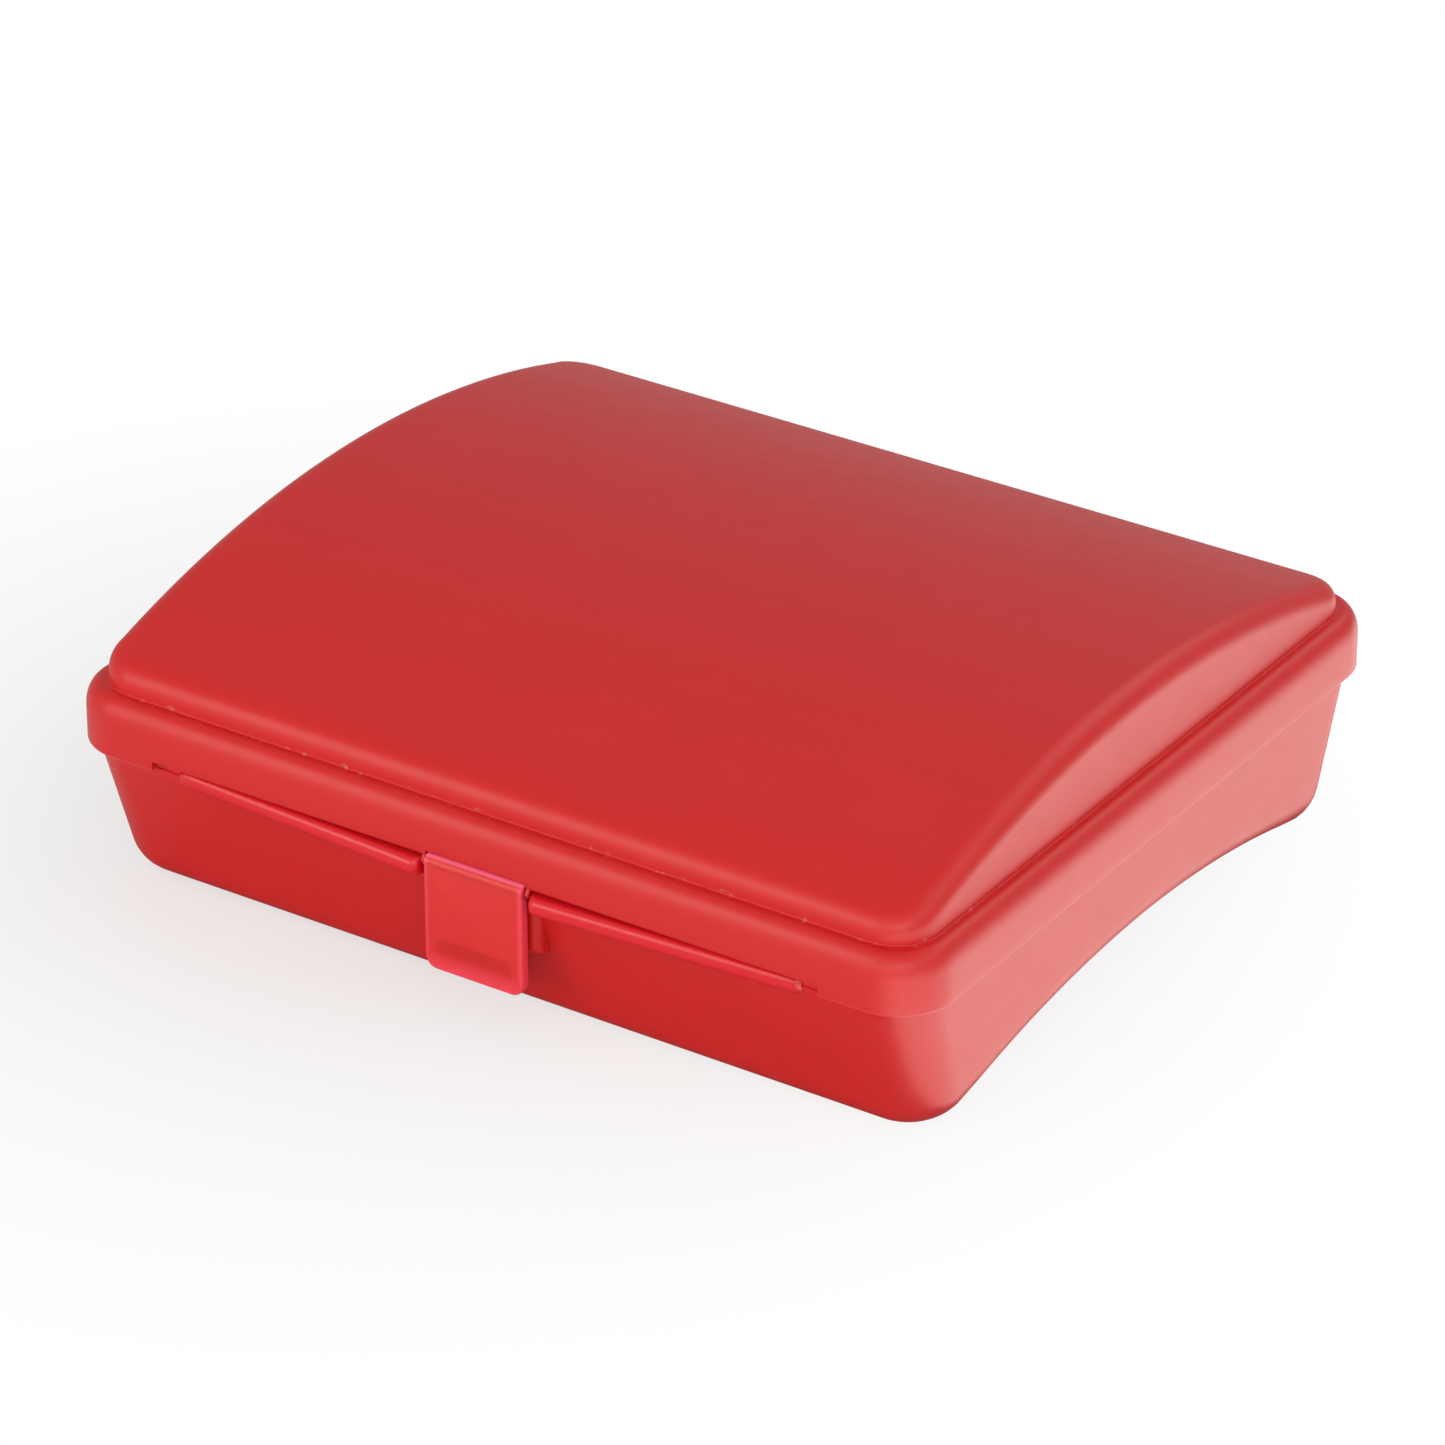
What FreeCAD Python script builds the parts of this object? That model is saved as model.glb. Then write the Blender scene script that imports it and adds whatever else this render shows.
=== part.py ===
"""Hinged plastic lunch box: an arched base, a barrel-vaulted lid on a snap-on back hinge and a front latch.

Frame: millimetres, +Z up, floor at z = 0, front towards -Y. The origin lies under the middle of the box.
"""
import FreeCAD, Part
import math
import os

V = FreeCAD.Vector

# Driving sizes of the rim, which the lid's skirt forms all round
rim_length = 170.0
rim_depth = 149.4
rim_corner = 11.5
skirt_bottom = 27.3
ledge_height = 38.0
rim_round = 2.7
skirt_wall = 1.6
lid_wall = 1.6

# The vault: dome of the lid and, with the same radius, the arch under the base, so that boxes stack
vault_radius = 216.0
crown_height = 54.0
ledge_side = 2.75
ledge_front = 3.55
dome_corner = 10.9
dome_round = 5.5

# Base tub
base_wall = 1.8
wall_setback = 1.9
front_draft = 0.28
tub_corner = 9.5
floor_round = 6.5
arch_rise = 7.4
arch_blend = 18.0

# Finger ledges beside the latch, and the slot in the skirt above them
slot_half = 66.1
slot_rise = 1.7
wing_inner = 11.5
wing_outer = 62.0
wing_top_gap = 0.6
wing_thick = 3.3
wing_reach_inner = 1.9
wing_reach_outer = -1.2
wing_round = 1.5

# Latch and its catch
latch_width = 19.4
latch_proud = 1.1
latch_thick = 2.0
latch_bottom = 8.7
latch_corner = 2.2
latch_pivot_drop = 0.8
latch_rod_r = 0.5
latch_snap = 0.8
knuckle_r = 1.4
latch_lug_r = 0.8
latch_lug_width = 1.2
hook_height = 1.4
hook_clear = 0.35
catch_half = 11.0
catch_bottom = 15.2
catch_round = 1.6

# Back hinge
hinge_spacing = 84.0
hinge_rod_r = 1.2
hinge_ring_r = 2.3
hinge_lug_r = 2.2
hinge_back = 1.7
hinge_drop = 2.1
hook_width = 14.0
hinge_lug_width = 3.0
hinge_snap = 1.9

# Fits, and how far joined bodies run into each other and cutting tools run past the walls
run_fit = 0.05
side_fit = 0.3
sweep_fit = 0.3
rim_gap = 0.6
lid_seat_gap = 0.3
weld = 0.5
past = 1.0
pick = 0.1

# Places that follow from the sizes
skirt_front = -rim_depth / 2
skirt_back = rim_depth / 2
slot_edge = skirt_bottom + slot_rise
dome_length = rim_length - 2 * ledge_side
dome_depth = rim_depth - 2 * ledge_front
tub_half_x = rim_length / 2 - wall_setback
tub_half_y = rim_depth / 2 - wall_setback
shoulder = skirt_bottom - sweep_fit
rim_inset = skirt_wall + rim_gap
rim_top = ledge_height - lid_wall - lid_seat_gap
plate_front = skirt_front - latch_proud
plate_back = plate_front + latch_thick
pivot_y = plate_front + knuckle_r
pivot_z = slot_edge - latch_pivot_drop
hinge_y = skirt_back + hinge_back
hinge_z = skirt_bottom - hinge_drop
catch_front = -tub_half_y
middle_y = (hinge_y + hinge_ring_r + plate_front) / 2


def tub_front(z):
    """Distance of the base's front or back wall from the middle plane at height z."""
    return tub_half_y - front_draft * max(shoulder - z, 0.0)


def rounded_rectangle(half_x, half_y, radius, z):
    """Closed wire of a rectangle with round corners, level at height z."""
    corners = [(half_x, half_y), (-half_x, half_y), (-half_x, -half_y), (half_x, -half_y)]
    edges = []
    ends = []
    diagonal = radius * (1 - math.sqrt(0.5))
    for number, (x, y) in enumerate(corners):
        sx = math.copysign(1, x)
        sy = math.copysign(1, y)
        along_y = V(x, y - sy * radius, z)
        along_x = V(x - sx * radius, y, z)
        middle = V(x - sx * diagonal, y - sy * diagonal, z)
        first, last = (along_y, along_x) if number % 2 == 0 else (along_x, along_y)
        ends.append((first, middle, last))
    for number, (first, middle, last) in enumerate(ends):
        edges.append(Part.Arc(first, middle, last).toShape())
        following = ends[(number + 1) % 4][0]
        edges.append(Part.LineSegment(last, following).toShape())
    return Part.Wire(edges)


def prism(half_x, half_y, radius, low, high):
    """Upright block with round corners."""
    face = Part.Face(rounded_rectangle(half_x, half_y, radius, low))
    return face.extrude(V(0, 0, high - low))


def box(x0, x1, y0, y1, z0, z1):
    """Block between two corners."""
    return Part.makeBox(x1 - x0, y1 - y0, z1 - z0, V(x0, y0, z0))


def bar(radius, y, z, x0, x1):
    """Round bar along X."""
    return Part.makeCylinder(radius, x1 - x0, V(x0, y, z), V(1, 0, 0))


def side_profile(points, x0, x1):
    """Polygon of (y, z) points carried along X."""
    corners = [V(x0, y, z) for y, z in points]
    face = Part.Face(Part.makePolygon(corners + corners[:1]))
    return face.extrude(V(x1 - x0, 0, 0))


def arch_tool(offset):
    """Solid under the base: the vault's arc, blended into the flat feet, offset into the wall."""
    centre_z = arch_rise - vault_radius
    outer = vault_radius + offset
    blend = arch_blend - offset
    foot = math.sqrt((outer + blend) ** 2 - (arch_blend - centre_z) ** 2)
    along = outer / (outer + blend)
    meet_y = foot * along
    meet_z = centre_z + (arch_blend - centre_z) * along
    half_turn = math.atan2(foot, arch_blend - centre_z) / 2
    low_y = foot - blend * math.sin(half_turn)
    low_z = arch_blend - blend * math.cos(half_turn)
    reach = rim_length
    under = -vault_radius / 4

    def at(y, z):
        return V(-reach, y, z)

    edges = [
        Part.Arc(at(-foot, offset), at(-low_y, low_z), at(-meet_y, meet_z)).toShape(),
        Part.Arc(at(-meet_y, meet_z), at(0, centre_z + outer), at(meet_y, meet_z)).toShape(),
        Part.Arc(at(meet_y, meet_z), at(low_y, low_z), at(foot, offset)).toShape(),
        Part.LineSegment(at(foot, offset), at(foot, under)).toShape(),
        Part.LineSegment(at(foot, under), at(-foot, under)).toShape(),
        Part.LineSegment(at(-foot, under), at(-foot, offset)).toShape(),
    ]
    return Part.Face(Part.Wire(edges)).extrude(V(2 * reach, 0, 0))


def floor_edges(shape, level):
    """Edges where the underside meets the walls: they run round the floor, not along the feet."""
    chosen = []
    for edge in shape.Edges:
        bounds = edge.BoundBox
        if bounds.ZMax > level + arch_rise + weld:
            continue
        inside = abs(edge.CenterOfMass.y) < tub_front(0) - base_wall - floor_round / 2
        lengthwise = bounds.XLength > rim_length / 2
        if not (lengthwise and inside):
            chosen.append(edge)
    return chosen


def tub(inset, level):
    """Base's form inset by a wall: drafted front and back, upright rim, arched floor with a round edge."""
    half_x = tub_half_x - inset
    low_y = tub_front(level) - inset
    top_y = tub_half_y - inset
    section = [(-low_y, level), (low_y, level), (top_y, shoulder), (-top_y, shoulder)]
    walls = side_profile(section, -half_x, half_x)
    corners = [edge for edge in walls.Edges if edge.BoundBox.ZLength > (shoulder - level) / 2]
    hollow = walls.makeFillet(tub_corner - inset, corners).cut(arch_tool(inset))
    rounded = hollow.makeFillet(floor_round - inset, floor_edges(hollow, level))
    rim = prism(rim_length / 2 - rim_inset - inset, rim_depth / 2 - rim_inset - inset,
                rim_corner - rim_inset - inset, shoulder, rim_top + inset)
    return rounded.fuse(rim)


def make_ledge(side):
    """Tapered finger ledge on the front wall: shallow at its end, deepest beside the latch, edge rounded."""
    top = slot_edge - wing_top_gap
    inside = -(tub_front(top - wing_thick) - base_wall / 2)
    plan = [
        V(side * wing_inner, inside, top - wing_thick),
        V(side * wing_inner, skirt_front - wing_reach_inner, top - wing_thick),
        V(side * wing_outer, skirt_front - wing_reach_outer, top - wing_thick),
        V(side * wing_outer, inside, top - wing_thick),
    ]
    ledge = Part.Face(Part.makePolygon(plan + plan[:1])).extrude(V(0, 0, wing_thick))
    outer = [edge for edge in ledge.Edges if edge.BoundBox.YMax < inside - pick]
    return ledge.makeFillet(wing_round, outer).cut(tub(0, 0))


def hinge_lugs(centre):
    """Two gusseted lugs on the back wall with the hinge rod moulded between them."""
    inner = hook_width / 2 + side_fit
    outer = inner + hinge_lug_width
    top_z = skirt_bottom - 2 * sweep_fit
    foot_z = hinge_z - 3 * hinge_lug_r
    slant = hinge_lug_r * math.sqrt(0.5)
    gusset = [
        (tub_front(top_z) - base_wall / 2, top_z),
        (hinge_y - slant, top_z),
        (hinge_y + slant, hinge_z - slant),
        (tub_front(foot_z) - base_wall / 2, foot_z),
    ]
    shape = bar(hinge_rod_r, hinge_y, hinge_z, centre - inner - weld, centre + inner + weld)
    for start in (centre - outer, centre + inner):
        shape = shape.fuse(bar(hinge_lug_r, hinge_y, hinge_z, start, start + hinge_lug_width))
        shape = shape.fuse(side_profile(gusset, start, start + hinge_lug_width))
    return shape


def hinge_hook(centre):
    """Snap hook under the lid's back skirt: a ring round the rod, open below so that it presses on."""
    x0 = centre - hook_width / 2
    x1 = centre + hook_width / 2
    arm_top = skirt_bottom + 2 * hinge_ring_r
    inside = skirt_back - skirt_wall / 2
    arm = side_profile([
        (inside, arm_top),
        (skirt_back, arm_top),
        (hinge_y + hinge_ring_r, hinge_z),
        (hinge_y, hinge_z),
        (inside, skirt_bottom),
    ], x0, x1)
    ring = bar(hinge_ring_r, hinge_y, hinge_z, x0, x1)
    mouth = box(x0, x1, hinge_y - hinge_snap / 2, hinge_y + hinge_snap / 2,
                hinge_z - 2 * hinge_ring_r, hinge_z)
    bore = bar(hinge_rod_r + run_fit, hinge_y, hinge_z, x0, x1)
    return arm.fuse(ring), mouth.fuse(bore)


def make_base():
    """Tub with the catch for the latch and the hinge lugs. The finger ledges belong to the same moulding."""
    shell = tub(0, 0)
    extras = [hinge_lugs(-hinge_spacing / 2), hinge_lugs(hinge_spacing / 2)]
    catch_top = slot_edge - wing_top_gap - wing_thick / 2
    catch = box(-catch_half, catch_half, catch_front, base_wall - tub_front(catch_bottom),
                catch_bottom, catch_top)
    front_edges = [
        edge for edge in catch.Edges
        if edge.BoundBox.YMax < catch_front + pick and edge.BoundBox.ZMin < catch_top - pick
    ]
    extras.append(catch.makeFillet(catch_round, front_edges))
    for extra in extras:
        shell = shell.fuse(extra)
    return shell.cut(tub(base_wall, base_wall)).removeSplitter()


def dome(inset, low):
    """Barrel vault of the lid inset by a wall: upright sides, round corners, and the edges of its top."""
    block = prism(dome_length / 2 - inset, dome_depth / 2 - inset, dome_corner - inset, low, crown_height)
    vault = bar(vault_radius - inset, 0, crown_height - vault_radius, -rim_length, rim_length)
    solid = block.common(vault)
    return solid, [edge for edge in solid.Edges if edge.BoundBox.ZMin > low + weld and not is_upright(edge)]


def is_upright(edge):
    """True for a straight edge along Z."""
    bounds = edge.BoundBox
    return bounds.XLength < pick and bounds.YLength < pick


def make_lid():
    """One moulding: skirt, ledge, vaulted dome, hinge hooks and the two lugs with the latch's rod."""
    skirt = prism(rim_length / 2, rim_depth / 2, rim_corner, skirt_bottom, ledge_height)
    top_edges = [edge for edge in skirt.Edges if edge.BoundBox.ZMin > ledge_height - pick]
    vault, vault_edges = dome(0, skirt_bottom)
    shell = skirt.makeFillet(rim_round, top_edges).fuse(vault.makeFillet(dome_round, vault_edges))
    hollow, hollow_edges = dome(lid_wall, skirt_bottom - past)
    bevel = (2 - math.sqrt(2)) * (dome_round - lid_wall)

    cuts = [
        prism(rim_length / 2 - skirt_wall, rim_depth / 2 - skirt_wall, rim_corner - skirt_wall,
              skirt_bottom - past, ledge_height - lid_wall),
        hollow.makeChamfer(bevel, hollow_edges),
        box(-slot_half, slot_half, skirt_front - past, skirt_front + skirt_wall + past,
            skirt_bottom - past, slot_edge),
    ]
    for side in (-1, 1):
        hook, clearance = hinge_hook(side * hinge_spacing / 2)
        shell = shell.fuse(hook)
        cuts.append(clearance)
    for cut in cuts:
        shell = shell.cut(cut)

    half = latch_width / 2 + side_fit
    sweep = knuckle_r + sweep_fit
    window = box(-half, half, skirt_front - past, skirt_front + skirt_wall + past,
                 skirt_bottom, pivot_z + sweep)
    shell = shell.cut(window)
    lug_back = pivot_y + latch_lug_r
    for start in (-half - latch_lug_width, half):
        lug = bar(latch_lug_r, pivot_y, pivot_z, start, start + latch_lug_width)
        stem = box(start, start + latch_lug_width, skirt_front, lug_back, pivot_z, slot_edge + skirt_wall)
        shell = shell.fuse(lug).fuse(stem)
    rod = bar(latch_rod_r, pivot_y, pivot_z, -half - latch_lug_width / 2, half + latch_lug_width / 2)
    return shell.fuse(rod).removeSplitter()


def make_latch():
    """Thin plate hung on the rod by a snap knuckle, with a rib behind it that hooks under the base's catch."""
    half = latch_width / 2
    plate = box(-half, half, plate_front, plate_back, latch_bottom, pivot_z)
    corners = [
        edge for edge in plate.Edges
        if edge.BoundBox.YLength > latch_thick / 2 and edge.BoundBox.ZMax < latch_bottom + pick
    ]
    plate = plate.makeFillet(latch_corner, corners)
    hook_top = catch_bottom - hook_clear
    hook_tip = catch_front - hook_clear
    rib = side_profile([
        (plate_front + latch_thick / 2, hook_top),
        (hook_tip, hook_top),
        (hook_tip, hook_top - hook_height / 2),
        (plate_back, hook_top - 2 * hook_height),
        (plate_front + latch_thick / 2, hook_top - 2 * hook_height),
    ], -half + latch_corner, half - latch_corner)
    knuckle = bar(knuckle_r, pivot_y, pivot_z, -half, half)
    shell = plate.fuse(knuckle).fuse(rib)
    bore = bar(latch_rod_r + run_fit, pivot_y, pivot_z, -half, half)
    mouth = box(-half, half, pivot_y, plate_back + knuckle_r,
                pivot_z - latch_snap / 2, pivot_z + latch_snap / 2)
    return shell.cut(bore).cut(mouth).removeSplitter()


os.makedirs("parts", exist_ok=True)
pieces = {
    "base": make_base(),
    "ledge_left": make_ledge(-1),
    "ledge_right": make_ledge(1),
    "lid": make_lid(),
    "latch": make_latch(),
}
for name, shape in pieces.items():
    placed = shape.copy()
    placed.translate(V(0, -middle_y, 0))
    solid_count = len(placed.Solids)
    print(name, "valid", placed.isValid(), "solids", solid_count, "volume", round(placed.Volume, 1))
    placed.exportStep("parts/" + name + ".step")
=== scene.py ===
import bpy
import math
import numpy as np
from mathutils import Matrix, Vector


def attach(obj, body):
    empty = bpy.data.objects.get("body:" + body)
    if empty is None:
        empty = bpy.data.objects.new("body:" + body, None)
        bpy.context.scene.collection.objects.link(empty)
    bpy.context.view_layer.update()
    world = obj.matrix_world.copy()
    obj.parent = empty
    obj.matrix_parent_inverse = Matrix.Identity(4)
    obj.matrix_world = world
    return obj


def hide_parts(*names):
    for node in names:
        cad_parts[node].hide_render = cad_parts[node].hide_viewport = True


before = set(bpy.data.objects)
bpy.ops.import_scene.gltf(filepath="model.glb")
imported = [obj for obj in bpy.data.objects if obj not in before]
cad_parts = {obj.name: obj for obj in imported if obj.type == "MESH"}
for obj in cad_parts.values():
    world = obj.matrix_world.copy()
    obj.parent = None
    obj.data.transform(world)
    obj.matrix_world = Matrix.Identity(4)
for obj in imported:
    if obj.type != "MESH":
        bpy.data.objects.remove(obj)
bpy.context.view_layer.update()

# BASE: the lower half of the box, injection moulded in one piece from red polypropylene. Tub with leaning front
# and back walls, corners that widen towards the floor, an arched floor so that boxes stack, finger ledges and a
# catch on the front wall, hinge lugs with moulded rods on the back wall. Sizes in mm; some were fitted after the CAD.

MM = 0.001
MIDDLE_Y = 1.45
SKIRT_X, SKIRT_Y, SKIRT_CORNER = 85.0, 74.7, 10.4
SKIRT_BOTTOM, SLOT_EDGE, LEDGE = 27.3, 29.0, 38.0
SHOULDER, RIM_TOP, RIM_INSET, WALL = 27.0, 36.1, 2.2, 1.8
TUB_X, TUB_Y = 83.1, 72.8
FRONT_DRAFT, END_DRAFT = 0.28, 0.035
CORNER_TOP, CORNER_FLOOR, FLOOR_ROUND = 8.6, 10.0, 6.5
VAULT, ARCH_RISE, ARCH_BLEND = 216.0, 7.4, 18.0
HINGE_Y, HINGE_Z, HINGE_SPACING = 76.4, 25.2, 84.0


def stations(xs, ys, arc):
    """Places once round a rounded rectangle, anticlockwise from the front left. Rows of the result: normal x and
    y, corner signs x and y, own x on the front and back, own y on the ends, with nan where the outline sets it."""
    found = []
    sides = ((xs, 0, -1), (ys, 1, 0), (xs[::-1], 0, 1), (ys[::-1], -1, 0))
    corners = ((1, -1), (1, 1), (-1, 1), (-1, -1))
    for quarter, (along, nx, ny) in enumerate(sides):
        for place in along:
            own = (place, np.nan) if nx == 0 else (np.nan, place)
            found.append((nx, ny, nx, ny, *own))
        for turn in np.radians(np.linspace(90 * quarter - 90, 90 * quarter, arc)):
            found.append((math.cos(turn), math.sin(turn), *corners[quarter], np.nan, np.nan))
    return np.array(found).T


def outline(places, half_x, half_y, radius):
    """x and y of each place on a rounded rectangle: corner centre plus radius times normal, or the place's own."""
    nx, ny, sx, sy, own_x, own_y = places
    x = np.where(np.isnan(own_x), sx * (half_x - radius) + radius * nx, own_x)
    y = np.where(np.isnan(own_y), sy * (half_y - radius) + radius * ny, own_y)
    return x, y


def row(x, y, z):
    """One row of points from coordinates that may be single numbers."""
    return np.stack(np.broadcast_arrays(x, y, z), axis=-1)


def loft(rows):
    """Closed skin through rows of points that run once round, with a point in the middle of each end row."""
    rows = np.array(rows)
    count, around = rows.shape[:2]
    grid = np.arange(count * around).reshape(count, around)
    onward = np.roll(grid, -1, axis=1)
    quads = np.stack([grid[:-1], grid[1:], onward[1:], onward[:-1]], axis=-1).reshape(-1, 4)
    first, last = count * around, count * around + 1
    faces = quads.tolist()
    faces += [[first, a, b] for a, b in zip(grid[0], onward[0])]
    faces += [[last, b, a] for a, b in zip(grid[-1], onward[-1])]
    points = np.concatenate([rows.reshape(-1, 3), rows[:1].mean(axis=1), rows[-1:].mean(axis=1)])
    return points, faces


def carried(sections):
    """Closed skin through equal (y, z) profiles at rising x, profiles anticlockwise as seen from +X."""
    points = np.concatenate([row(x, p[:, 0], p[:, 1]) for x, p in sections])
    count, around = len(sections), len(sections[0][1])
    grid = np.arange(count * around).reshape(count, around)
    onward = np.roll(grid, -1, axis=1)
    faces = np.stack([grid[:-1], onward[:-1], onward[1:], grid[1:]], axis=-1).reshape(-1, 4).tolist()
    return points, faces + [grid[0][::-1].tolist(), grid[-1].tolist()]


def drawn_in(profile, amount):
    """Profile moved inwards: each corner shifts along the mean of the normals of its two edges."""
    ahead = np.roll(profile, -1, axis=0) - profile
    ahead /= np.linalg.norm(ahead, axis=1)[:, None]
    mean = ahead + np.roll(ahead, 1, axis=0)
    mean /= np.maximum(np.linalg.norm(mean, axis=1), 0.2)[:, None]
    return profile + amount * np.stack([-mean[:, 1], mean[:, 0]], axis=1)


def bar(profile, x0, x1, bevel=0.2):
    """Profile carried along X with a small bevel at both ends."""
    profile = np.array(profile, float)
    small = drawn_in(profile, bevel)
    return carried([(x0, small), (x0 + bevel, profile), (x1 - bevel, profile), (x1, small)])


def arc(y, z, radius, start, end, count=9):
    """(y, z) points of an arc, angles in degrees from +Y towards +Z."""
    turn = np.radians(np.linspace(start, end, count))
    return np.stack([y + radius * np.cos(turn), z + radius * np.sin(turn)], axis=1)


def rib(x0, x1, front0, front1, low, top, root_low, root_top, nose, ends):
    """Rib on the front wall from x0 to x1 whose front edge runs from y = front0 to front1, both edges rounded by
    nose, and whose ends are drawn back on a quarter circle of radius ends. Its root leans inside the wall."""
    sections, least_depth = [], 0.05
    quarter = np.radians(np.linspace(0, 90, 7))
    places = [(x0 + ends * (1 - math.cos(a)), ends * (1 - math.sin(a))) for a in quarter]
    places += [(x, 0) for x in np.linspace(x0 + ends, x1 - ends, 24)[1:-1]]
    places += [(x1 - ends * (1 - math.cos(a)), ends * (1 - math.sin(a))) for a in quarter[::-1]]
    for x, back in places:
        front = front0 + (front1 - front0) * (x - x0) / (x1 - x0) + back
        curve = np.concatenate([arc(front + nose, top - nose, nose, 90, 180, 8),
                                arc(front + nose, low + nose, nose, 180, 270, 8)])
        root = root_low + (root_top - root_low) * (curve[:, 1] - low) / (top - low)
        curve[:, 0] = np.minimum(curve[:, 0], root - least_depth)
        sections.append((x, np.concatenate([[[root_low, low], [root_top, top]], curve])))
    return carried(sections)


def floor_level(y, offset):
    """Height of the floor at y: the vault's arc up to where a blend circle leads it into the flat feet."""
    foot = math.sqrt((VAULT + ARCH_BLEND) ** 2 - (ARCH_BLEND + VAULT - ARCH_RISE) ** 2)
    outer, blend = VAULT + offset, ARCH_BLEND - offset
    meet = foot * outer / (VAULT + ARCH_BLEND)
    away = np.abs(y)
    vault = ARCH_RISE - VAULT + np.sqrt(outer ** 2 - np.minimum(away, meet) ** 2)
    ramp = ARCH_BLEND - np.sqrt(blend ** 2 - np.clip(foot - away, 0, foot - meet) ** 2)
    return np.where(away < meet, vault, ramp)


def tub_rows(places, inset):
    """Rows of the tub's form inset by a wall, from its shoulder down the leaning wall, round the floor's edge and
    inwards over the arched floor to the middle. The edge's circle touches the wall and the floor."""
    nx, ny = places[:2]
    draft = FRONT_DRAFT * ny ** 2 + END_DRAFT * nx ** 2
    radius = FLOOR_ROUND - inset

    def wall(z, extra):
        drop = SHOULDER - z
        corner = CORNER_TOP + (CORNER_FLOOR - CORNER_TOP) * drop / SHOULDER
        x, y = outline(places, TUB_X - END_DRAFT * drop - inset, TUB_Y - FRONT_DRAFT * drop - inset,
                       corner - inset)
        return row(x - nx * extra, y - ny * extra, z)

    level = floor_level(wall(0.0, radius)[:, 1], inset)
    lean = np.sqrt(1 + draft ** 2)
    centre = draft * (SHOULDER - level - radius) + radius * lean
    rows = []
    start = np.pi + np.arctan(draft)
    first_z = level + radius + radius * np.sin(start)
    for share in np.linspace(0, 1, 6)[:-1]:
        rows.append(wall(SHOULDER + (first_z - SHOULDER) * share, 0.0))
    for share in np.linspace(0, 1, 9):
        turn = start + (1.5 * np.pi - start) * share
        z = level + radius + radius * np.sin(turn)
        rows.append(wall(z, centre + radius * np.cos(turn) - draft * (SHOULDER - z)))
    edge = rows[-1]
    for share in np.linspace(1, 0.02, 24)[1:]:
        x, y = edge[:, 0] * share, edge[:, 1] * share
        rows.append(row(x, y, floor_level(y, inset)))
    return rows


def rim_row(places, inset, z):
    """Row of the base's upright rim at height z, inset from the lid's skirt."""
    x, y = outline(places, SKIRT_X - inset, SKIRT_Y - inset, SKIRT_CORNER - inset)
    return row(x, y, z)


tub_places = stations(np.linspace(-66, 66, 45), np.linspace(-50, 50, 41), 17)
edge_round = 0.4
base_rows = tub_rows(tub_places, WALL)[::-1]
for inset, z in ((RIM_INSET + WALL, SHOULDER), (RIM_INSET + WALL, RIM_TOP - edge_round)):
    base_rows.append(rim_row(tub_places, inset, z))
for turn in np.radians(np.linspace(0, 90, 5)):
    base_rows.append(rim_row(tub_places, RIM_INSET + WALL - edge_round * (1 - math.cos(turn)),
                             RIM_TOP - edge_round * (1 - math.sin(turn))))
for turn in np.radians(np.linspace(90, 0, 5)):
    base_rows.append(rim_row(tub_places, RIM_INSET + edge_round * (1 - math.cos(turn)),
                             RIM_TOP - edge_round * (1 - math.sin(turn))))
base_rows.append(rim_row(tub_places, RIM_INSET, SHOULDER))
base_rows += tub_rows(tub_places, 0.0)
base_parts = [loft(base_rows)]

wing_low, wing_top, wing_root = 25.1, 28.4, -71.4
wing_inner, wing_outer, wing_nose, wing_end = 10.95, 62.0, 1.4, 1.5
front_inner, front_outer = -SKIRT_Y - 1.8, -SKIRT_Y + 1.2
for side in (-1, 1):
    (x0, front0), (x1, front1) = sorted([(side * wing_inner, front_inner), (side * wing_outer, front_outer)])
    base_parts.append(rib(x0, x1, front0, front1, wing_low, wing_top, wing_root, wing_root, wing_nose, wing_end))
catch_half, catch_front, catch_low, catch_top, catch_round = 11.0, -72.8, 15.2, 26.5, 1.6
catch_root_low, catch_root_top = -69.0, -71.6
base_parts.append(rib(-catch_half, catch_half, catch_front, catch_front, catch_low, catch_top,
                      catch_root_low, catch_root_top, catch_round, catch_round))

rod_radius, lug_radius, hook_half, lug_width = 1.2, 2.2, 7.0, 3.0
lug_root, hook_play, rod_sunk = TUB_Y - 1.2, 0.3, 0.5
lug_top, lug_foot = SHOULDER - 0.3, HINGE_Z - 3 * lug_radius
lug_profile = np.concatenate([
    [[lug_root - FRONT_DRAFT * (SHOULDER - lug_foot), lug_foot]],
    arc(HINGE_Y, HINGE_Z, lug_radius, -45, 137, 16),
    [[lug_root, lug_top]],
])
rod_profile = arc(HINGE_Y, HINGE_Z, rod_radius, 0, 345, 24)
for centre in (-HINGE_SPACING / 2, HINGE_SPACING / 2):
    inner = hook_half + hook_play
    base_parts.append(bar(rod_profile, centre - inner - rod_sunk, centre + inner + rod_sunk))
    for start in (centre - inner - lug_width, centre + inner):
        base_parts.append(bar(lug_profile, start, start + lug_width, bevel=0.3))


def linear(code):
    """Hex sRGB colour as linear red, green, blue and alpha."""
    parts = [int(code[i:i + 2], 16) / 255 for i in (1, 3, 5)]
    return [c / 12.92 if c <= 0.04045 else ((c + 0.055) / 1.055) ** 2.4 for c in parts] + [1.0]


def add(material, kind, inputs, **settings):
    """New node in a material: its settings, then each input set to a value or linked to another node's output."""
    node = material.node_tree.nodes.new(kind)
    for name, value in settings.items():
        setattr(node, name, value)
    for name, value in inputs.items():
        if isinstance(value, bpy.types.NodeSocket):
            material.node_tree.links.new(value, node.inputs[name])
        else:
            node.inputs[name].default_value = value
    return node


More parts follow.
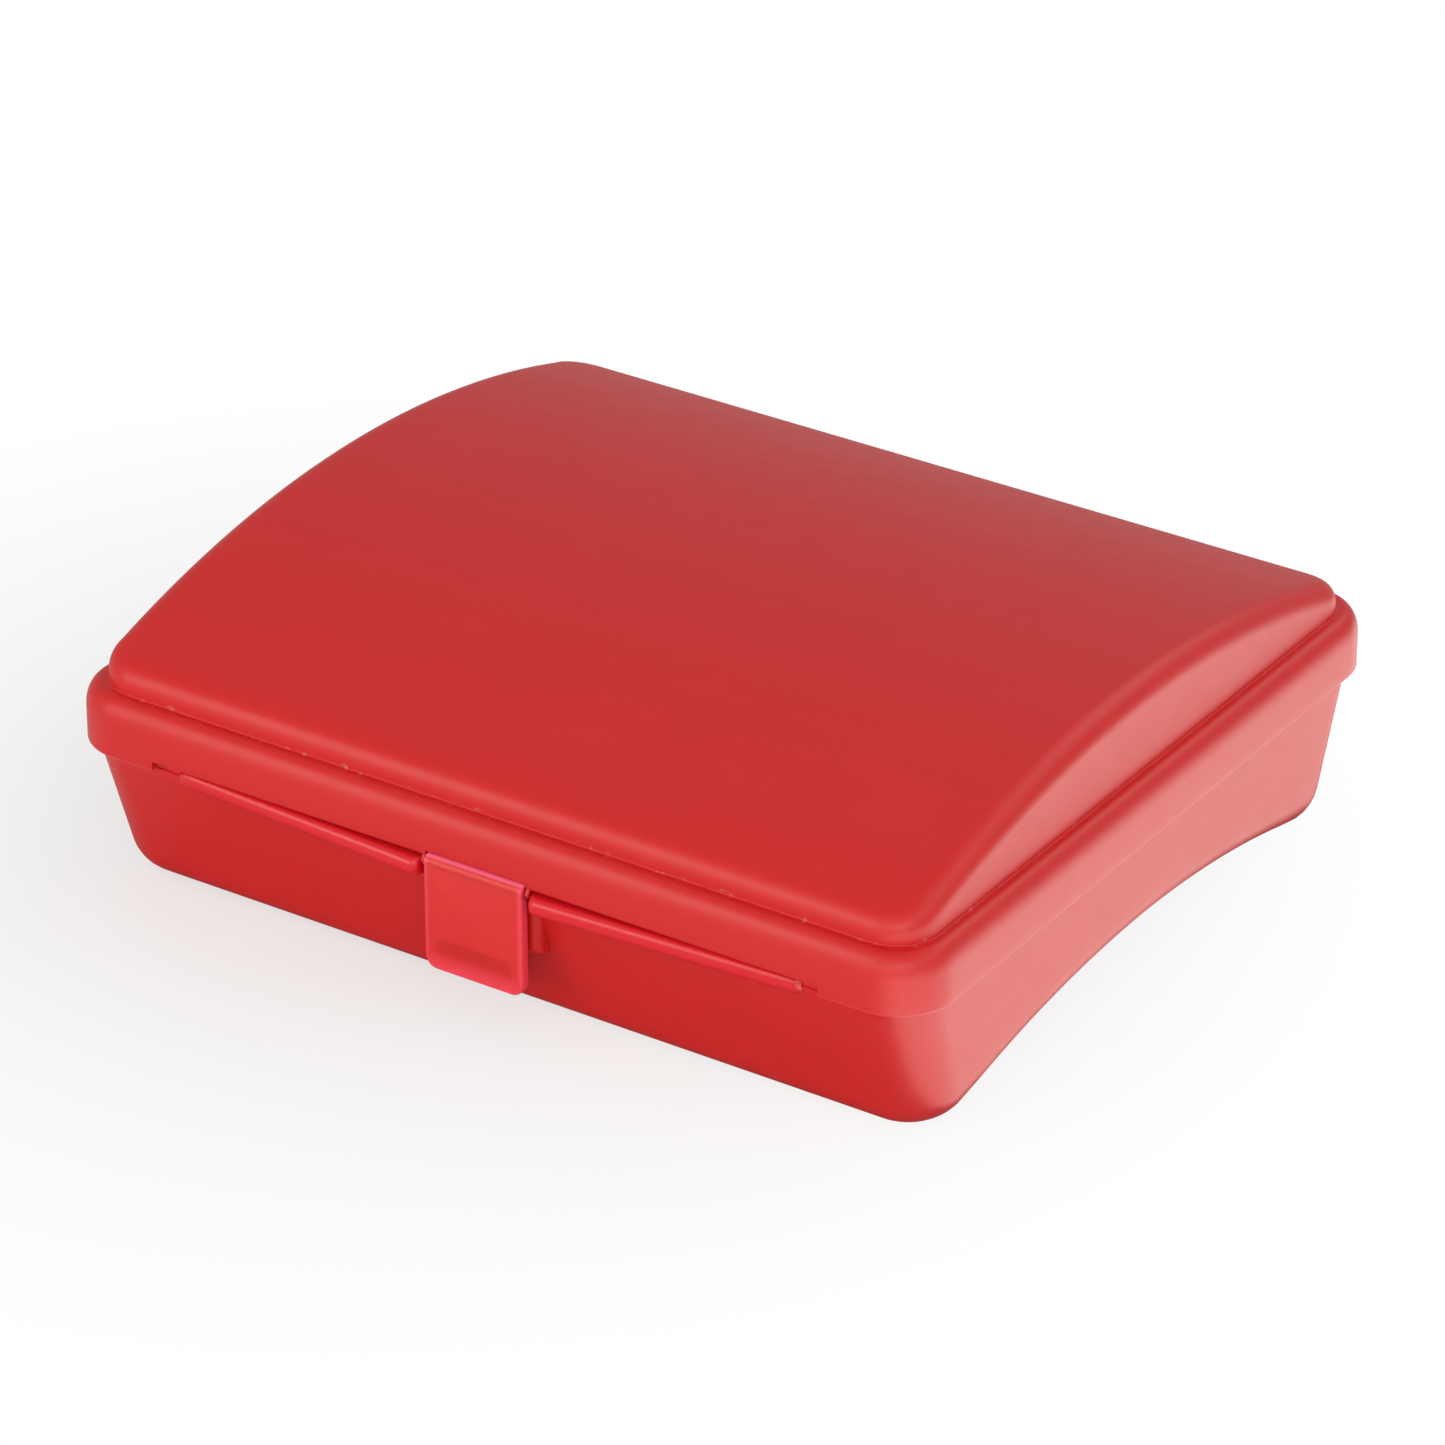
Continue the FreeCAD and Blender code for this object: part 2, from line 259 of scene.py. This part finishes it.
def polypropylene(name, colour, cloudy, rough, grain_mm):
    """Moulded polypropylene, pigmented right through: slightly cloudy deep colour, a satin surface from the mould's
    fine spark-eroded grain, and light soaking a little way into the wall. Returns the material and its colour.
    The grain is drawn two or three times coarser than the real one, which would be too fine to show."""
    red = bpy.data.materials.new(name)
    red.use_nodes = True
    shader = red.node_tree.nodes["Principled BSDF"]
    place = add(red, "ShaderNodeTexCoord", {}).outputs["Object"]
    cloud = add(red, "ShaderNodeTexNoise", {"Vector": place, "Scale": 1 / (18 * MM), "Detail": 2.0}).outputs["Fac"]
    tint = add(red, "ShaderNodeMix", {0: cloud, 6: linear(colour), 7: linear(cloudy)}, data_type="RGBA").outputs[2]
    patch = add(red, "ShaderNodeTexNoise", {"Vector": place, "Scale": 1 / (5 * MM), "Detail": 4.0}).outputs["Fac"]
    satin = add(red, "ShaderNodeMapRange", {"Value": patch, "From Min": 0.3, "From Max": 0.7,
                                            "To Min": rough - 0.015, "To Max": rough + 0.015}).outputs["Result"]
    grain = add(red, "ShaderNodeTexNoise", {"Vector": place, "Scale": 1 / (grain_mm * MM),
                                            "Detail": 2.0}).outputs["Fac"]
    bump = add(red, "ShaderNodeBump", {"Height": grain, "Strength": 0.3, "Distance": 0.04 * grain_mm * MM})
    red.node_tree.links.new(tint, shader.inputs["Base Color"])
    red.node_tree.links.new(satin, shader.inputs["Roughness"])
    red.node_tree.links.new(bump.outputs["Normal"], shader.inputs["Normal"])
    shader.inputs["IOR"].default_value = 1.49
    shader.inputs["Subsurface Weight"].default_value = 0.15
    shader.inputs["Subsurface Radius"].default_value = (1.0, 0.08, 0.06)
    shader.inputs["Subsurface Scale"].default_value = 2.5 * MM
    return red, tint


def piece(name, parts, material, body, slot, *nodes):
    """One shown object from closed skins: millimetres to metres in the shared frame, smooth with true edges."""
    points, faces, count = [], [], 0
    for some, found in parts:
        points.append(some)
        faces += [[count + k for k in face] for face in found]
        count += len(some)
    points = (np.concatenate(points) - (0.0, MIDDLE_Y, 0.0)) * MM
    mesh = bpy.data.meshes.new(name)
    mesh.from_pydata(points.tolist(), [], faces)
    mesh.shade_smooth()
    mesh.set_sharp_from_angle(angle=math.radians(38))
    mesh.materials.append(material)
    shown = bpy.data.objects.new(name, mesh)
    bpy.context.collection.objects.link(shown)
    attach(shown, body)
    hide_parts(*nodes)


BODY_RED, BODY_CLOUDY, BODY_ROUGH, BODY_GRAIN = "#cb1718", "#d11a1b", 0.42, 0.35
base_red, base_tint = polypropylene("base_plastic", BODY_RED, BODY_CLOUDY, BODY_ROUGH, BODY_GRAIN)
# The thin ledges were polished in the mould, so they shine more sharply. Their purer, lighter red is painted light:
# it stands for light coming through them and brightens the shaded slit under the skirt.
shader = base_red.node_tree.nodes["Principled BSDF"]
satin = shader.inputs["Roughness"].links[0].from_socket
place = add(base_red, "ShaderNodeTexCoord", {}).outputs["Object"]
place = add(base_red, "ShaderNodeSeparateXYZ", {0: place}).outputs
ahead = add(base_red, "ShaderNodeMapRange", {"Value": place["Y"], "From Min": -72.6 * MM,
                                             "From Max": -74.4 * MM}).outputs[0]
above = add(base_red, "ShaderNodeMapRange", {"Value": place["Z"], "From Min": 24.6 * MM,
                                             "From Max": 25.2 * MM}).outputs[0]
below = add(base_red, "ShaderNodeMapRange", {"Value": place["Z"], "From Min": 30.0 * MM,
                                             "From Max": 28.6 * MM}).outputs[0]
ledge = ahead
for mask in (above, below):
    ledge = add(base_red, "ShaderNodeMath", {0: ledge, 1: mask}, operation="MULTIPLY").outputs[0]
# Painted light: a lighter red on the ledges.
tint = add(base_red, "ShaderNodeMix", {0: ledge, 6: base_tint, 7: linear("#d81a26")}, data_type="RGBA").outputs[2]
shine = add(base_red, "ShaderNodeMix", {0: ledge, 2: satin, 3: 0.25}).outputs[0]
base_red.node_tree.links.new(tint, shader.inputs["Base Color"])
base_red.node_tree.links.new(shine, shader.inputs["Roughness"])
piece("base_moulding", base_parts, base_red, "base", "base_plastic", "base", "ledge_left", "ledge_right")

# LID: the upper half, moulded in one piece from the same red polypropylene. Skirt with a rounded shoulder, a
# narrow ledge and a barrel vault; a shallow slot in the front skirt leaves room for the finger ledges. Snap hooks
# on the back skirt hold it on the base's rods, and two small lugs carry the rod for the latch.

DOME_X, DOME_Y, DOME_CORNER, DOME_ROUND = 81.4, 71.15, 8.0, 4.1
DOME_VAULT, VAULT_AHEAD = 213.0, 1.0
CROWN, LID_WALL, SLOT_HALF, WINDOW_HALF = 54.0, 1.6, 66.1, 10.0
PIVOT_Y, PIVOT_Z = -74.4, 28.2
KNUCKLE, KNUCKLE_PLAY = 1.4, 0.12
WINDOW_TOP = PIVOT_Z + KNUCKLE + KNUCKLE_PLAY
shoulder_out, shoulder_down, crease = 2.8, 4.4, 0.25


def vault_level(y, inset):
    """Height of the vault at y: circle of the vault's radius under the crown, less the wall. The crown lies a
    little ahead of the middle."""
    return CROWN - DOME_VAULT + np.sqrt((DOME_VAULT - inset) ** 2 - (y + VAULT_AHEAD) ** 2)


def dome_rows(places, inset, low):
    """Rows of the dome from its middle outwards over the vault, round the edge circle that touches the vault and
    the upright side, and down to height low. The edge circle's place comes from the vault's slope there."""
    nx, ny = places[:2]
    radius = DOME_ROUND - inset
    x, y = outline(places, DOME_X - inset, DOME_Y - inset, DOME_CORNER - inset)
    touch = radius
    for _ in range(4):
        at = y - ny * touch
        from_crown = at + VAULT_AHEAD
        slope = ny * from_crown / np.sqrt((DOME_VAULT - inset) ** 2 - from_crown ** 2)
        touch = radius * (1 - slope / np.sqrt(1 + slope ** 2))
    foot = vault_level(at, inset) - slope * touch
    centre = foot + slope * radius - radius * np.sqrt(1 + slope ** 2)
    edge_x, edge_y = x - nx * touch, y - ny * touch
    rows = []
    for share in np.linspace(0.02, 1, 30)[:-1]:
        rows.append(row(edge_x * share, edge_y * share, vault_level(edge_y * share, inset)))
    start = np.pi / 2 + np.arctan(slope)
    end = np.pi - np.arcsin(np.clip((low - centre) / radius, 0, 1))
    for share in np.linspace(0, 1, 11):
        turn = start + (end - start) * share
        away = radius * (1 + np.cos(turn))
        rows.append(row(x - nx * away, y - ny * away, centre + radius * np.sin(turn)))
    if inset:
        rows.append(row(x, y, low))
    return rows


def skirt_row(places, inset, z):
    """Row of the skirt at height z, inset from its outer face."""
    x, y = outline(places, SKIRT_X - inset, SKIRT_Y - inset, SKIRT_CORNER - inset)
    return row(x, y, z)


steps = [s * (edge + d) for s in (-1, 1) for edge in (SLOT_HALF, WINDOW_HALF) for d in (-0.02, 0.02, -0.5, 0.5)]
lid_xs = np.array(sorted(set(np.linspace(-70, 70, 57).round(3)) | set(np.round(steps, 3))))
lid_places = stations(lid_xs, np.linspace(-60, 60, 49), 19)
on_front = lid_places[1] < -0.99
from_middle = np.abs(np.where(np.isnan(lid_places[4]), np.inf, lid_places[4]))
bottom = np.where(on_front & (from_middle < SLOT_HALF), SLOT_EDGE, SKIRT_BOTTOM)
bottom = np.where(on_front & (from_middle < WINDOW_HALF), WINDOW_TOP, bottom)

lid_rows = dome_rows(lid_places, 0.0, LEDGE + crease)
for turn in np.radians(np.linspace(0, 90, 5)):
    away = crease * (1 - math.cos(turn))
    x, y = outline(lid_places, DOME_X + away, DOME_Y + away, DOME_CORNER + away)
    lid_rows.append(row(x, y, LEDGE + crease - crease * math.sin(turn)))
for turn in np.radians(np.linspace(0, 90, 10)):
    lid_rows.append(skirt_row(lid_places, shoulder_out * (1 - math.sin(turn)),
                              LEDGE - shoulder_down * (1 - math.cos(turn))))
hem = 0.35
face_top = LEDGE - shoulder_down
for share in (0.35, 0.7, 1.0):
    lid_rows.append(skirt_row(lid_places, 0.0, face_top + (bottom + hem - face_top) * share))
for turn in np.radians(np.linspace(0, 90, 5))[1:]:
    lid_rows.append(skirt_row(lid_places, hem * (1 - math.cos(turn)), bottom + hem - hem * math.sin(turn)))
for turn in np.radians(np.linspace(90, 0, 5)):
    lid_rows.append(skirt_row(lid_places, LID_WALL - hem * (1 - math.cos(turn)), bottom + hem - hem * math.sin(turn)))
lid_rows.append(skirt_row(lid_places, LID_WALL, LEDGE - LID_WALL))
lid_rows += dome_rows(lid_places, LID_WALL, LEDGE - LID_WALL)[::-1]
lid_parts = [loft(lid_rows)]

ring_radius, bore_radius, mouth_half = 2.3, 1.25, 0.95
mouth_out = math.degrees(math.asin(mouth_half / ring_radius))
mouth_in = math.degrees(math.asin(mouth_half / bore_radius))
hook_inside = SKIRT_Y - LID_WALL / 2
hook_profile = np.concatenate([
    arc(HINGE_Y, HINGE_Z, ring_radius, -90 + mouth_out, 0, 8),
    [[SKIRT_Y, SKIRT_BOTTOM + 2 * ring_radius], [hook_inside, SKIRT_BOTTOM + 2 * ring_radius]],
    [[hook_inside, SKIRT_BOTTOM]],
    arc(HINGE_Y, HINGE_Z, ring_radius, 180, 270 - mouth_out, 8),
    arc(HINGE_Y, HINGE_Z, bore_radius, 270 - mouth_in, -90 + mouth_in, 20),
])
for centre in (-HINGE_SPACING / 2, HINGE_SPACING / 2):
    lid_parts.append(bar(hook_profile, centre - hook_half, centre + hook_half, bevel=0.25))

latch_lug, latch_rod, latch_lug_width, lug_rise = 0.8, 0.5, 0.65, 1.0
lug_shape = np.concatenate([
    arc(PIVOT_Y, PIVOT_Z, latch_lug, 180, 360, 12),
    [[PIVOT_Y + latch_lug, SLOT_EDGE + lug_rise], [-SKIRT_Y + 0.4, SLOT_EDGE + lug_rise], [-SKIRT_Y, SLOT_EDGE]],
])
for start in (-WINDOW_HALF - latch_lug_width, WINDOW_HALF):
    lid_parts.append(bar(lug_shape, start, start + latch_lug_width, bevel=0.15))
latch_rod_half = WINDOW_HALF + rod_sunk
lid_parts.append(bar(arc(PIVOT_Y, PIVOT_Z, latch_rod, 0, 345, 20), -latch_rod_half, latch_rod_half, bevel=0.1))

lid_red, lid_tint = polypropylene("lid_plastic", BODY_RED, BODY_CLOUDY, BODY_ROUGH, BODY_GRAIN)
# Painted highlight: the skirt's cut edge is painted paler. Pale dust has settled in the crease round the dome.
hem_light_strength, dust_strength = 0.3, 0.5
place = add(lid_red, "ShaderNodeTexCoord", {}).outputs["Object"]
speck = add(lid_red, "ShaderNodeTexNoise", {"Vector": place, "Scale": 1 / (1.6 * MM), "Detail": 1.0}).outputs["Fac"]
speck = add(lid_red, "ShaderNodeMapRange", {"Value": speck, "From Min": 0.64, "From Max": 0.72}).outputs[0]
place = add(lid_red, "ShaderNodeSeparateXYZ", {0: place}).outputs
painted_hem_light = add(lid_red, "ShaderNodeMapRange", {"Value": place["Z"], "From Min": 27.75 * MM,
                                               "From Max": 27.45 * MM}).outputs[0]
painted_hem_light = add(lid_red, "ShaderNodeMath", {0: painted_hem_light, 1: hem_light_strength}, operation="MULTIPLY").outputs[0]
over = add(lid_red, "ShaderNodeMapRange", {"Value": place["Z"], "From Min": 37.98 * MM,
                                           "From Max": 38.05 * MM}).outputs[0]
under = add(lid_red, "ShaderNodeMapRange", {"Value": place["Z"], "From Min": 38.9 * MM,
                                            "From Max": 38.3 * MM}).outputs[0]
dust = over
for mask in (under, speck, dust_strength):
    dust = add(lid_red, "ShaderNodeMath", {0: dust, 1: mask}, operation="MULTIPLY").outputs[0]
# Painted highlight along the skirt's lower edge, then the pale dust in the crease.
tint = add(lid_red, "ShaderNodeMix", {0: painted_hem_light, 6: lid_tint, 7: linear("#ff7a7a")}, data_type="RGBA").outputs[2]
tint = add(lid_red, "ShaderNodeMix", {0: dust, 6: tint, 7: linear("#d8948c")}, data_type="RGBA").outputs[2]
lid_red.node_tree.links.new(tint, lid_red.node_tree.nodes["Principled BSDF"].inputs["Base Color"])
piece("lid_moulding", lid_parts, lid_red, "lid", "lid_plastic", "lid")

# LATCH: thin plate of the same plastic, smoother and more see-through. A knuckle along its top snaps on the lid's
# rod, and a rib behind it catches under the base's catch. Its pink edges are painted light, for the light they let
# through.

LATCH_HALF, LATCH_BOTTOM, PLATE_FRONT, PLATE_BACK, LATCH_CORNER = 9.7, 8.7, -75.8, -73.8, 2.2
knuckle_bore, snap_half = 0.55, 0.4
plate_middle, plate_half = (LATCH_BOTTOM + PIVOT_Z) / 2, (PIVOT_Z - LATCH_BOTTOM) / 2
plate_places = stations(np.linspace(-7, 7, 15), np.linspace(-7, 9, 15), 9)
top_corner = 0.6
plate_radius = np.where(plate_places[3] < 0, LATCH_CORNER, top_corner)
plate_rows = []
front_edge = ((0.45, PLATE_FRONT), (0.2, PLATE_FRONT + 0.06), (0.05, PLATE_FRONT + 0.2), (0, PLATE_FRONT + 0.45))
back_edge = ((0, PLATE_BACK - 0.35), (0.05, PLATE_BACK - 0.12), (0.3, PLATE_BACK))
for inset, y in front_edge + back_edge:
    x, z = outline(plate_places, LATCH_HALF - inset, plate_half - inset, plate_radius - inset)
    plate_rows.append(row(x, y, z + plate_middle))
snap = math.degrees(math.asin(snap_half / KNUCKLE))
snap_in = math.degrees(math.asin(snap_half / knuckle_bore))
knuckle_profile = np.concatenate([
    arc(PIVOT_Y, PIVOT_Z, KNUCKLE, snap, 360 - snap, 28),
    arc(PIVOT_Y, PIVOT_Z, knuckle_bore, 360 - snap_in, snap_in, 20),
])
hook_top, hook_tip, hook_height, hook_lip = 14.85, -73.15, 2.8, 0.7
hook_low, hook_root = hook_top - hook_height, PLATE_FRONT + 1.0
rib_profile = [[hook_root, hook_top], [hook_root, hook_low], [PLATE_BACK, hook_low],
               [hook_tip, hook_top - hook_lip], [hook_tip, hook_top]]
latch_parts = [loft(plate_rows), bar(knuckle_profile, -LATCH_HALF, LATCH_HALF, bevel=0.15),
               bar(rib_profile, -LATCH_HALF + LATCH_CORNER, LATCH_HALF - LATCH_CORNER, bevel=0.15)]

latch_red, latch_tint = polypropylene("latch_plastic", "#d62322", "#dc2927", 0.36, 0.6)
# Painted light: pink where light comes out at the plate's sides and bottom, and a pink painted highlight on the
# knuckle's top. Painted shade: a darker band where the hook rib shows through from behind.
rib_shade_strength = 0.6
place = add(latch_red, "ShaderNodeTexCoord", {}).outputs["Object"]
place = add(latch_red, "ShaderNodeSeparateXYZ", {0: place}).outputs
sideways = add(latch_red, "ShaderNodeMath", {0: place["X"]}, operation="ABSOLUTE").outputs[0]
painted_side_light = add(latch_red, "ShaderNodeMapRange", {"Value": sideways, "From Min": 8.6 * MM,
                                               "From Max": 9.7 * MM}).outputs[0]
painted_bottom_light = add(latch_red, "ShaderNodeMapRange", {"Value": place["Z"], "From Min": 12.4 * MM,
                                                 "From Max": 8.8 * MM}).outputs[0]
painted_top_highlight = add(latch_red, "ShaderNodeMapRange", {"Value": place["Z"], "From Min": 29.2 * MM,
                                                 "From Max": 29.45 * MM}).outputs[0]
# Painted light at the plate's sides and bottom.
edge = add(latch_red, "ShaderNodeMath", {0: painted_side_light, 1: painted_bottom_light}, operation="MAXIMUM").outputs[0]
tint = add(latch_red, "ShaderNodeMix", {0: edge, 6: latch_tint, 7: linear("#f4445a")}, data_type="RGBA").outputs[2]
tint = add(latch_red, "ShaderNodeMix", {0: painted_top_highlight, 6: tint, 7: linear("#ff6f8c")}, data_type="RGBA").outputs[2]
rib_shade_top = add(latch_red, "ShaderNodeMapRange", {"Value": place["Z"], "From Min": 14.9 * MM,
                                                 "From Max": 14.7 * MM}).outputs[0]
rib_shade_low = add(latch_red, "ShaderNodeMapRange", {"Value": place["Z"], "From Min": 11.2 * MM,
                                                 "From Max": 13.0 * MM}).outputs[0]
rib_shade_end = add(latch_red, "ShaderNodeMapRange", {"Value": sideways, "From Min": 8.0 * MM,
                                                 "From Max": 6.8 * MM}).outputs[0]
# Painted shade where the hook rib shows through the plate.
painted_rib_shade = rib_shade_top
for mask in (rib_shade_low, rib_shade_end, rib_shade_strength):
    painted_rib_shade = add(latch_red, "ShaderNodeMath", {0: painted_rib_shade, 1: mask}, operation="MULTIPLY").outputs[0]
tint = add(latch_red, "ShaderNodeMix", {0: painted_rib_shade, 6: tint, 7: linear("#c0181a")}, data_type="RGBA").outputs[2]
latch_red.node_tree.links.new(tint, latch_red.node_tree.nodes["Principled BSDF"].inputs["Base Color"])
piece("latch_plate", latch_parts, latch_red, "latch", "latch_plastic", "latch")

# STAGE: white table and studio light, not part of the box. Soft panels all round, the strongest on the near right
# corner, white surroundings and a long lens.

size = 6.0
floor_mesh = bpy.data.meshes.new("floor")
floor_mesh.from_pydata([(-size, -size, 0), (size, -size, 0), (size, size, 0), (-size, size, 0)], [], [(0, 1, 2, 3)])
floor = bpy.data.objects.new("floor", floor_mesh)
bpy.context.collection.objects.link(floor)
white = bpy.data.materials.new("white_table")
white.use_nodes = True
white.node_tree.nodes.clear()
# Matt table that stays white in the picture. Its soft shadow is painted: less of the white shows near a point at the
# front left, so the real shade is deepest there. Reflections see it painted darker close to the box, where the box
# shades it. Its matt colour is a little bluish green, painted to offset the red light the box throws on it.
shade_middle, box_half = (-0.05, -0.03, 0.0), (0.06, 0.07, 0.0)
ray = add(white, "ShaderNodeLightPath", {}).outputs
mirrored = add(white, "ShaderNodeMath", {0: ray["Is Glossy Ray"], 1: ray["Is Transmission Ray"]},
               operation="MAXIMUM").outputs[0]
place = add(white, "ShaderNodeTexCoord", {}).outputs["Object"]
away = add(white, "ShaderNodeVectorMath", {0: place, 1: shade_middle}, operation="DISTANCE").outputs["Value"]
# Painted shadow: the camera sees less of the white near a point at the front left.
plain = add(white, "ShaderNodeMapRange", {"Value": away, "From Min": 0.05, "From Max": 0.17,
                                          "To Min": 0.62}).outputs["Result"]
share = add(white, "ShaderNodeMath", {0: plain, 1: ray["Is Camera Ray"]}, operation="MULTIPLY").outputs[0]
share = add(white, "ShaderNodeMath", {0: share, 1: mirrored}, operation="MAXIMUM").outputs[0]
place = add(white, "ShaderNodeVectorMath", {0: place}, operation="ABSOLUTE").outputs["Vector"]
place = add(white, "ShaderNodeVectorMath", {0: place, 1: box_half}, operation="SUBTRACT").outputs["Vector"]
place = add(white, "ShaderNodeSeparateXYZ", {0: place}).outputs
beside = add(white, "ShaderNodeMath", {0: place["X"], 1: place["Y"]}, operation="MAXIMUM").outputs[0]
# Painted shade for reflections: the table glows less close to the box.
bright = add(white, "ShaderNodeMapRange", {"Value": beside, "From Min": 0.012, "From Max": 0.05, "To Min": 0.12,
                                           "To Max": 0.62}).outputs["Result"]
bright = add(white, "ShaderNodeMath", {0: bright, 1: ray["Is Camera Ray"]}, operation="MAXIMUM").outputs[0]
# Bluish green tint, painted to offset the red light from the box.
matt = add(white, "ShaderNodeBsdfDiffuse", {"Color": (0.81, 0.86, 0.86, 1)}).outputs[0]
glow = add(white, "ShaderNodeEmission", {"Color": (1, 1, 1, 1), "Strength": bright}).outputs[0]
both = add(white, "ShaderNodeMixShader", {0: share, 1: matt, 2: glow}).outputs[0]
add(white, "ShaderNodeOutputMaterial", {"Surface": both})
floor_mesh.materials.append(white)

world = bpy.data.worlds.new("studio")
bpy.context.scene.world = world
world.use_nodes = True
sky = world.node_tree.nodes["Background"]
sky.inputs["Color"].default_value = (1, 1, 1, 1)
sky.inputs["Strength"].default_value = 0.45

WARM = (1.0, 0.97, 0.9)


def panel(name, place, aim, width, height, power):
    """Rectangular soft light at place, facing aim, very slightly warm."""
    lamp = bpy.data.lights.new(name, "AREA")
    lamp.shape = "RECTANGLE"
    lamp.size = width
    lamp.size_y = height
    lamp.energy = power
    lamp.color = WARM
    shown = bpy.data.objects.new(name, lamp)
    shown.location = place
    shown.rotation_euler = (Vector(aim) - Vector(place)).to_track_quat("-Z", "Y").to_euler()
    bpy.context.collection.objects.link(shown)
    return shown


AIM = (0, 0, 0.03)
panel("front_panel", (0.1, -1.1, 0.35), AIM, 0.8, 0.5, 1.8)
panel("left_panel", (-0.5, -0.82, 0.36), AIM, 0.5, 0.55, 2.5)
panel("corner_panel", (0.8, -0.9, 0.5), AIM, 0.8, 0.6, 3.9)
panel("top_panel", (0.0, -0.75, 0.8), AIM, 0.8, 0.6, 0.7)
panel("back_panel", (0.3, 0.9, 0.9), AIM, 0.8, 0.6, 2.4)
panel("right_panel", (0.8, 0.1, 0.7), AIM, 0.8, 0.6, 1.7)
# Bright card flat on the table at the right, seen only as a reflection in the box's right end.
card = panel("right_card", (0.148, 0.02, 0.002), (0.148, 0.02, 1), 0.13, 0.44, 0.41)
card.visible_diffuse = False
card.visible_camera = False

azimuth, elevation, distance = math.radians(33.38), math.radians(28.93), 1.20731
target = Vector((-0.00032, -0.00263, 0.02281))
level = math.cos(elevation)
away = Vector((math.sin(azimuth) * level, -math.cos(azimuth) * level, math.sin(elevation)))
lens = bpy.data.cameras.new("camera")
lens.sensor_width = 36
lens.lens = 176.27
lens.clip_end = 20
camera = bpy.data.objects.new("camera", lens)
camera.location = target + distance * away
camera.rotation_euler = (-away).to_track_quat("-Z", "Y").to_euler()
bpy.context.collection.objects.link(camera)
bpy.context.scene.camera = camera
bpy.context.scene.view_settings.view_transform = "Standard"
